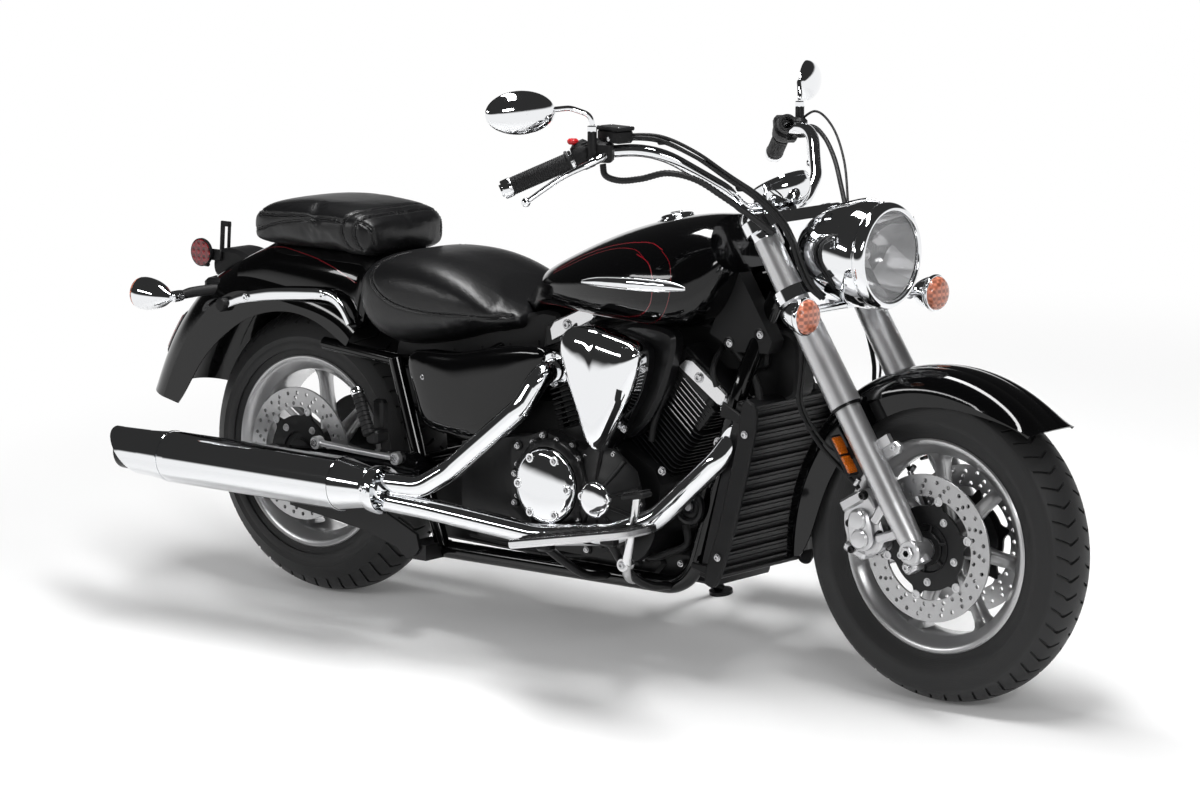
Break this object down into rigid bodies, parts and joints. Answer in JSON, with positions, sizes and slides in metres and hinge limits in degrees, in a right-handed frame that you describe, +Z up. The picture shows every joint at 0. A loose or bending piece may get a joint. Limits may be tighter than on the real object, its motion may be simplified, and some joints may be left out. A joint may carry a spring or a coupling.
{
  "type": "cruiser motorcycle",
  "caption": "Road cruiser motorcycle with a V-twin engine, cast wheels, solo and pillion seats and a low muffler, leaning on its side stand.",
  "frame": {"origin": "Centre of the bounding box's bottom face, on the ground that both tyres and the stand's foot touch, as parked.", "axes": "+X is forward, +Y is to the rider's left, the side it leans to, and +Z is up. The bike leans 9 degrees to the left about X."},
  "size_m": [2.501, 1.0654, 1.2748],
  "materials": {
    "tyre_rubber": "dull",
    "black_paint": "high gloss",
    "black_metal": "satin",
    "chrome": "mirror",
    "silver_metal": "satin",
    "disc_steel": "brushed",
    "steel": "satin",
    "leather": "smooth, softly shining",
    "clear_lens": "clear",
    "red_lens": "gloss",
    "signal_lens": "ribbed, clear over amber",
    "orange_reflector": "prismatic",
    "grip_rubber": "matte",
    "black_plastic": "matte",
    "belt_rubber": "matte"
  },
  "bodies": {
    "chassis": {"rear_fender": "black_paint", "frame_cradles": "black_paint", "frame_spine": "black_paint", "swingarm": "black_paint", "rear_axle": "steel", "fuel_tank": "black_paint", "rider_seat": "leather", "passenger_seat": "leather", "crankcase": "black_metal", "front_cylinder": "black_metal", "rear_cylinder": "black_metal", "rocker_covers": "chrome", "right_engine_covers": "chrome", "left_engine_covers": "chrome", "air_cleaner_cover": "chrome", "radiator": "black_metal", "radiator_shrouds": "black_plastic", "horn": "black_metal", "muffler": "chrome", "exhaust_pipes": "chrome", "muffler_bracket": "black_metal", "side_covers": "black_paint", "neck_covers": "black_plastic", "floorboards": "black_metal", "foot_controls": "chrome", "passenger_pegs": "grip_rubber", "fender_rails": "chrome", "tail_lamp": "red_lens", "rear_signals": "chrome", "rear_brake": "silver_metal", "drive_belt": "belt_rubber"},
    "steering": {"fork_sliders": "silver_metal", "fork_covers": "silver_metal", "triple_clamps": "silver_metal", "front_axle": "steel", "headlight_shell": "chrome", "headlight_lens": "clear_lens", "signal_bar": "chrome", "front_signal_lenses": "signal_lens", "handlebar": "chrome", "grips": "grip_rubber", "switch_housings": "black_metal", "levers": "chrome", "mirrors": "chrome", "instrument_pod": "chrome", "front_fender": "black_paint", "front_calipers": "silver_metal", "fork_reflectors": "orange_reflector"},
    "front_wheel": {"front_tyre": "tyre_rubber", "front_wheel": "silver_metal", "front_discs": "disc_steel"},
    "rear_wheel": {"rear_tyre": "tyre_rubber", "rear_wheel": "silver_metal", "rear_disc": "disc_steel", "rear_pulley": "black_metal"},
    "side_stand": {"side_stand": "black_metal"}
  },
  "joints": [
    {"name": "steering_axis", "type": "hinge", "parent": "chassis", "child": "steering", "pos_m": [0.69783, -0.09085, 0.58285], "axis": [-0.5402, 0.1316, 0.8312], "range_deg": [-36, 36]},
    {"name": "front_wheel_spin", "type": "hinge", "parent": "steering", "child": "front_wheel", "pos_m": [0.931, -0.13294, 0.31711], "axis": [0, 0.9877, -0.1564], "continuous": true},
    {"name": "rear_wheel_spin", "type": "hinge", "parent": "chassis", "child": "rear_wheel", "pos_m": [-0.759, -0.13263, 0.31908], "axis": [0, 0.9877, -0.1564], "continuous": true},
    {"name": "stand_pivot", "type": "hinge", "parent": "chassis", "child": "side_stand", "pos_m": [0.016, 0.02034, 0.14703], "axis": [0.1671, 0.6647, 0.7282], "range_deg": [0, 96]}
  ]
}
